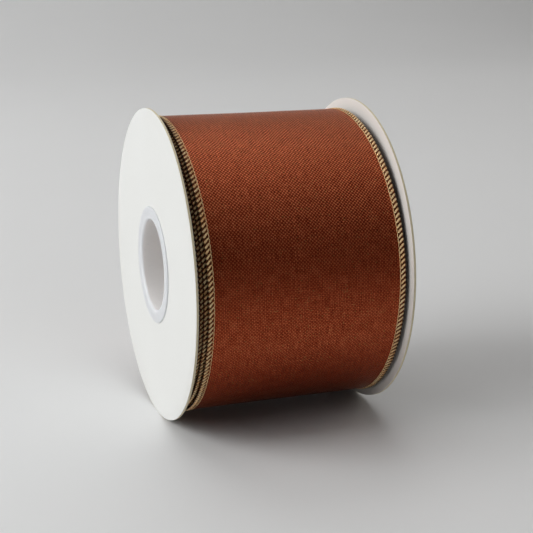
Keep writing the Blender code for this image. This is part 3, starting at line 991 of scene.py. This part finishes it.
def build_loose_end():
    """The last of the ribbon, in pieces of its own."""
    cloth = build_cloth("ribbon_tail", 0.0, TAIL_LENGTH, TAIL_STEPS, "tail_web")
    threads = build_stitching("tail", 0.0, TAIL_STITCHES, CLOSE_STEPS, CLOSE_SIDES)
    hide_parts("tail_stitch_left")
    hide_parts("tail_stitch_right")
    wires = []
    for side, sign in SIDES:
        name = f"tail_wire_tip_{side}"
        wire = build_wire(name, sign, 0.0, TAIL_LENGTH + LAST_WIRE_TIP, TAIL_WIRE_STEP)
        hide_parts(f"tail_wire_{side}")
        wires.append(wire)
    for piece in (cloth, *threads, *wires):
        piece.parent = None
        bend_at_peel(piece)


TAPE_HALF_WIDTH = 9.5 * MM
TAPE_THICKNESS = 0.07 * MM
TAPE_ANGLE = math.radians(20)  # on each side of the cut end
TAPE_STEP_ANGLE = math.radians(5)
TAPE_STEPS = 48
TAPE_COLUMNS = 8


def tape_height(along):
    """Top of the cloth under the tape: the loose end, then one turn lower."""
    step_length = TAPE_STEP_ANGLE * PEEL_MID_RADIUS
    down = smooth((along - TAIL_LENGTH) / step_length)
    return WEB_THICKNESS / 2 + ON_CLOTH - (TURN_PITCH - 2 * ON_CLOTH) * down


def build_end_tape():
    """Clear tape over the cut end, stuck to the loose end and to the turn below it."""
    reach = TAPE_ANGLE * PEEL_MID_RADIUS
    along = np.linspace(TAIL_LENGTH - reach, TAIL_LENGTH + reach, TAPE_STEPS + 1)
    columns = np.linspace(-TAPE_HALF_WIDTH, TAPE_HALF_WIDTH, TAPE_COLUMNS + 1)
    across = np.concatenate([columns, columns[::-1]])
    above = np.concatenate([0 * columns + TAPE_THICKNESS, 0 * columns])
    count = len(across)
    all_along = np.repeat(along, count)
    all_across = np.tile(across, len(along))
    height = np.tile(above, len(along)) + tape_height(all_along) + ease(all_across, all_along)
    flat = np.stack([all_across, all_along, height], axis=1)
    faces = tube_faces(len(along), count)
    tape = new_piece("end_tape_strip", wind(flat), faces, TAPE)
    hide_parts("end_tape")
    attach(tape, "loose_end")


FRAY_COUNT = 90
FRAY_RADIUS = 0.045 * MM
FRAY_ROOT = 0.2 * MM  # of each fibre that lies inside the cloth
FRAY_DEPTH = 0.04 * MM  # below the middle of the cloth
FRAY_RINGS = 5
FRAY_SIDES = 4


def build_fray():
    """Loose ends of warp yarn along the cut."""
    chance = np.random.default_rng(11)
    points, faces, places = [], [], []
    for _ in range(FRAY_COUNT):
        across = chance.uniform(-1, 1) * (HALF_WIDTH - STITCH_REACH)
        length = chance.uniform(0.25, 1.1) ** 1.5 * MM
        lean, curl = chance.uniform(-0.5, 0.5), chance.uniform(-0.4, 0.9)
        share = np.linspace(0.0, 1.0, FRAY_RINGS)
        path = np.stack(
            [
                across + lean * length * share ** 2,
                TAIL_LENGTH - FRAY_ROOT + (length + FRAY_ROOT) * share,
                curl * length * share ** 2 - FRAY_DEPTH,
            ],
            axis=1,
        )
        outward = np.tile([0.0, 0.0, 1.0], (FRAY_RINGS, 1))
        fibre, _ = sweep(path, outward, FRAY_RADIUS, FRAY_RADIUS, FRAY_SIDES)
        base = sum(len(other) for other in points)
        fibre_faces = tube_faces(FRAY_RINGS, FRAY_SIDES)
        faces += [tuple(base + index for index in face) for face in fibre_faces]
        points.append(fibre)
        places.append(fibre / MM)
    flat = np.concatenate(points)
    fray = new_piece("cut_end_fray", wind(flat), faces, CLOTH)
    add_vectors(fray, "ribbon_uv", np.concatenate(places))
    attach(fray, "loose_end")


# ---------------------------------------------------------------- studio

FLOOR_HALF_WIDTH = 3.0
FLOOR_FRONT = -1.5
SWEEP_START = 0.9
SWEEP_RADIUS = 0.9
BACKDROP_HEIGHT = 2.6


def build_backdrop():
    """Pale paper that runs back along the floor and sweeps up behind."""
    profile = [(FLOOR_FRONT, 0.0), (FLOOR_FRONT / 3, 0.0), (0.0, 0.0), (SWEEP_START / 2, 0.0)]
    profile += arc((SWEEP_START, SWEEP_RADIUS), SWEEP_RADIUS, 270, 360, 32)
    profile += [(SWEEP_START + SWEEP_RADIUS, BACKDROP_HEIGHT)]
    points = [(x, y, z) for y, z in profile for x in (-FLOOR_HALF_WIDTH, FLOOR_HALF_WIDTH)]
    faces = []
    for index in range(len(profile) - 1):
        low = 2 * index
        faces.append((low, low + 1, low + 3, low + 2))
    mesh = bpy.data.meshes.new("backdrop")
    mesh.from_pydata(points, [], faces)
    mesh.materials.append(seamless_paper())
    mesh.shade_smooth()
    backdrop = bpy.data.objects.new("backdrop", mesh)
    bpy.context.scene.collection.objects.link(backdrop)


CAMERA_AZIMUTH = math.radians(-18.97)
CAMERA_ELEVATION = math.radians(15.54)
CAMERA_DISTANCE = 444.8 * MM
CAMERA_TARGET = Vector((3.71 * MM, 0.0, 46.64 * MM))
CAMERA_LENS = 89.6
SENSOR_WIDTH = 36.0


def build_camera():
    """The photo's view, fitted to the flange rims, the lip and the ribbon's edges."""
    data = bpy.data.cameras.new("camera")
    data.lens = CAMERA_LENS
    data.sensor_width = SENSOR_WIDTH
    data.clip_start = 0.01
    data.clip_end = 20.0
    camera = bpy.data.objects.new("camera", data)
    level = math.cos(CAMERA_ELEVATION)
    back = Vector(
        (
            math.sin(CAMERA_AZIMUTH) * level,
            -math.cos(CAMERA_AZIMUTH) * level,
            math.sin(CAMERA_ELEVATION),
        )
    )
    camera.location = CAMERA_TARGET + back * CAMERA_DISTANCE
    camera.rotation_euler = (-back).to_track_quat("-Z", "Y").to_euler()
    bpy.context.scene.collection.objects.link(camera)
    bpy.context.scene.camera = camera


# name, place, width, height, power, colour
LIGHTS = (
    ("overhead", (0.0, 0.2, 1.4), 1.7, 1.5, 4.9, (1.0, 1.0, 1.0)),
    ("high_back", (0.0, 1.0, 1.2), 1.4, 0.9, 4.35, (1.0, 1.0, 1.0)),
    ("left_window", (-1.5, -0.1, 0.8), 1.7, 1.3, 13.0, (0.985, 1.0, 1.0)),
    ("left_front", (-1.3, -0.6, 0.7), 0.9, 0.8, 2.5, (0.985, 1.0, 1.0)),
    ("left_high", (-1.3, 0.0, 0.95), 0.9, 0.8, 6.3, (0.985, 1.0, 1.0)),
    ("left_back", (-1.3, 0.6, 0.7), 0.9, 0.8, 4.3, (0.985, 1.0, 1.0)),
    ("right_fill", (1.5, 0.0, 0.8), 1.0, 1.0, 3.3, (1.0, 0.93, 0.86)),
)
LIGHT_TARGET = Vector((0.0, 0.0, 0.05))
ROOM_COLOUR = (1.0, 0.93, 0.87)
ROOM_STRENGTH = 0.012


def build_lights():
    """Large soft lights above and to the left, a weak warm one at the right, and a dim room."""
    for name, place, width, height, power_watts, colour in LIGHTS:
        data = bpy.data.lights.new(name, "AREA")
        data.shape = "RECTANGLE"
        data.size = width
        data.size_y = height
        data.energy = power_watts
        data.color = colour
        light = bpy.data.objects.new(name, data)
        light.location = place
        light.rotation_euler = (LIGHT_TARGET - Vector(place)).to_track_quat("-Z", "Y").to_euler()
        bpy.context.scene.collection.objects.link(light)
    world = bpy.data.worlds.new("room")
    world.use_nodes = True
    background = world.node_tree.nodes["Background"]
    background.inputs["Color"].default_value = (*ROOM_COLOUR, 1.0)
    background.inputs["Strength"].default_value = ROOM_STRENGTH
    bpy.context.scene.world = world
    bpy.context.scene.view_settings.view_transform = "Standard"


build_flanges()
build_hubs()
finish_core()
build_wound_ribbon()
build_wires()
build_loose_end()
build_end_tape()
build_fray()
build_backdrop()
build_camera()
build_lights()
